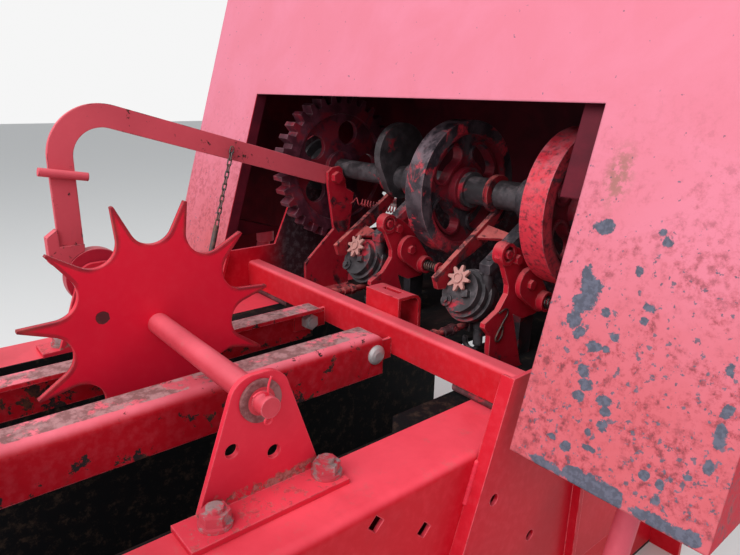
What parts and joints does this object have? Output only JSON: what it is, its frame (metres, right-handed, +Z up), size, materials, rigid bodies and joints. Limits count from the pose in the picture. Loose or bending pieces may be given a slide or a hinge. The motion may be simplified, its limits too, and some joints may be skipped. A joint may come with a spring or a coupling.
{
  "type": "tying section of a square baler",
  "caption": "Stretch of a square baler's bale chamber with toothed metering wheel, trip arm, twine knotters on a driven shaft and a lifting sheet hood over them.",
  "frame": {"origin": "on the underside of the bale chamber, in its middle, below the rear face of the crossbar", "axes": "+X to the right across the chamber, +Y forward along it, towards the plunger, +Z up"},
  "size_m": [1.09, 1.153, 0.96],
  "materials": {
    "hood_paint": "sun-faded red paint, chalky, with dark rust spots and scrapes",
    "body_paint": "glossy red paint with dust, chips and dark stains",
    "rail_paint": "worn red paint with black scuffs and rust along the edges",
    "dirty_paint": "red paint under dried grease and dust",
    "knotter_iron": "dark iron under old grease",
    "star_paint": "pale worn paint on castings",
    "bolt_steel": "dull zinc and rust",
    "chain_steel": "dark rusty chain"
  },
  "bodies": {
    "root": {"chamber_floor": "dirty_paint", "wall_left": "body_paint", "wall_right": "body_paint", "chamber_cover": "dirty_paint", "front_flange": "body_paint", "side_plate_left": "body_paint", "side_plate_right": "body_paint", "crossbar": "body_paint", "crossbar_pads": "bolt_steel", "crossbar_strap": "body_paint", "rail_left": "rail_paint", "rail_right": "rail_paint", "rail_bolts": "bolt_steel", "wheel_bracket_left": "body_paint", "wheel_bracket_right": "body_paint", "bracket_bolts": "bolt_steel", "tension_yoke": "body_paint", "tension_springs": "body_paint", "tension_cranks": "bolt_steel", "trip_bracket": "body_paint", "trip_spring": "body_paint", "shaft_bearings": "knotter_iron", "knotter_frame_left": "knotter_iron", "knotter_frame_right": "knotter_iron", "knotter_stay_left": "body_paint", "knotter_stay_right": "body_paint", "twine_drum_left": "knotter_iron", "twine_drum_right": "knotter_iron", "twine_star_left": "star_paint", "twine_star_right": "star_paint", "billhook_left": "knotter_iron", "billhook_right": "knotter_iron", "breast_plate_left": "body_paint", "breast_plate_right": "body_paint", "breast_spring_left": "knotter_iron", "breast_spring_right": "knotter_iron", "hood_posts": "body_paint", "hinge_rod": "bolt_steel"},
    "metering_wheel": {"metering_wheel": "body_paint", "wheel_shaft": "body_paint", "measuring_roller": "body_paint"},
    "trip_arm": {"trip_arm": "body_paint", "trip_shoe": "body_paint", "trip_chain": "chain_steel"},
    "knotter_shaft": {"knotter_shaft": "knotter_iron", "drive_gear": "knotter_iron", "cam_disc_left": "dirty_paint", "cam_disc_right": "dirty_paint", "needle_cam": "knotter_iron"},
    "hood": {"hood": "hood_paint"}
  },
  "joints": [
    {"name": "wheel_spin", "type": "hinge", "parent": "root", "child": "metering_wheel", "pos_m": [0, -0.296, 0.482], "axis": [1, 0, 0], "continuous": true},
    {"name": "trip_swing", "type": "hinge", "parent": "root", "child": "trip_arm", "pos_m": [-0.247, 0.136, 0.6], "axis": [-1, 0, 0], "range_deg": [0, 10]},
    {"name": "shaft_turn", "type": "hinge", "parent": "root", "child": "knotter_shaft", "pos_m": [0, 0.173, 0.612], "axis": [1, 0, 0], "continuous": true},
    {"name": "hood_lift", "type": "hinge", "parent": "root", "child": "hood", "pos_m": [0, 0.452, 0.495], "axis": [-1, 0, 0], "range_deg": [0, 70]}
  ]
}
